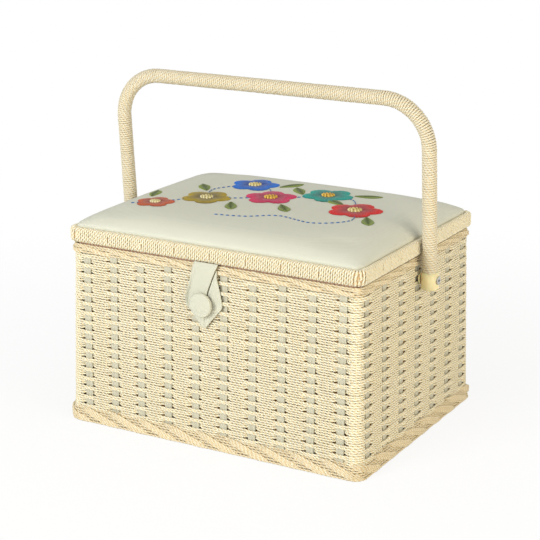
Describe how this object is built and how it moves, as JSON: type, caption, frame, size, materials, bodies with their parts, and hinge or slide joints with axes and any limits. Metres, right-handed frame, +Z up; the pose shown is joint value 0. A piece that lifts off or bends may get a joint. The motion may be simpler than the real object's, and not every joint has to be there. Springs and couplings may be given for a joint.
{
  "type": "sewing box",
  "caption": "Lidded sewing box woven from paper cord, with a padded cotton lid, a swinging cord-wound handle and a cloth loop over a covered button.",
  "frame": {"origin": "middle of the base board's underside, on the table", "axes": "+Z up, -Y the front with the clasp, X along the handle's bar"},
  "size_m": [0.3688, 0.2754, 0.3507],
  "materials": {
    "paper_cord": "twisted cord, matt with a faint sheen",
    "stake_strip": "flat woven strip, matt",
    "plain_wood": "plain sanded wood",
    "cover_cotton": "plain-weave cotton",
    "pad_foam": "soft foam",
    "lining_cotton": "cotton over card",
    "ferrule_plastic": "cream, slightly see-through",
    "plated_steel": "plated",
    "bent_cane": "peeled cane"
  },
  "bodies": {
    "basket": {"base_board": "plain_wood", "corner_posts": "plain_wood", "mouth_frame": "plain_wood", "wall_stakes": "stake_strip", "weft_courses": "paper_cord", "foot_border": "paper_cord", "mouth_border": "paper_cord", "wall_lining": "lining_cotton", "floor_lining": "lining_cotton", "button_cap": "cover_cotton", "button_back": "plated_steel", "button_shank": "plated_steel", "button_backing": "plated_steel", "handle_rivets": "plated_steel", "handle_spacers": "ferrule_plastic", "inner_washers": "plated_steel", "hinge_wall_leaves": "plated_steel", "hinge_pins": "plated_steel", "hinge_wall_screws": "plated_steel"},
    "lid": {"lid_frame": "plain_wood", "rim_winding": "paper_cord", "lid_board": "plain_wood", "lid_lining": "lining_cotton", "lid_pad": "pad_foam", "lid_cover": "cover_cotton", "hinge_lid_leaves": "plated_steel", "hinge_lid_screws": "plated_steel"},
    "clasp": {"clasp_loop": "cover_cotton"},
    "handle": {"handle_winding": "paper_cord", "handle_core": "bent_cane", "handle_ferrules": "ferrule_plastic"}
  },
  "joints": [
    {"name": "lid_hinge", "type": "hinge", "parent": "basket", "child": "lid", "pos_m": [0, 0.1337, 0.18965], "axis": [-1, 0, 0], "range_deg": [0, 33], "deforming": ["clasp_loop"]},
    {"name": "handle_swing", "type": "hinge", "parent": "basket", "child": "handle", "pos_m": [0, 0, 0.1663], "axis": [1, 0, 0], "range_deg": [-123, 114]},
    {"name": "clasp_swing", "type": "hinge", "parent": "lid", "child": "clasp", "pos_m": [0, -0.1316, 0.1889], "axis": [-1, 0, 0], "range_deg": [0, 150], "deforming": ["clasp_loop"]}
  ]
}
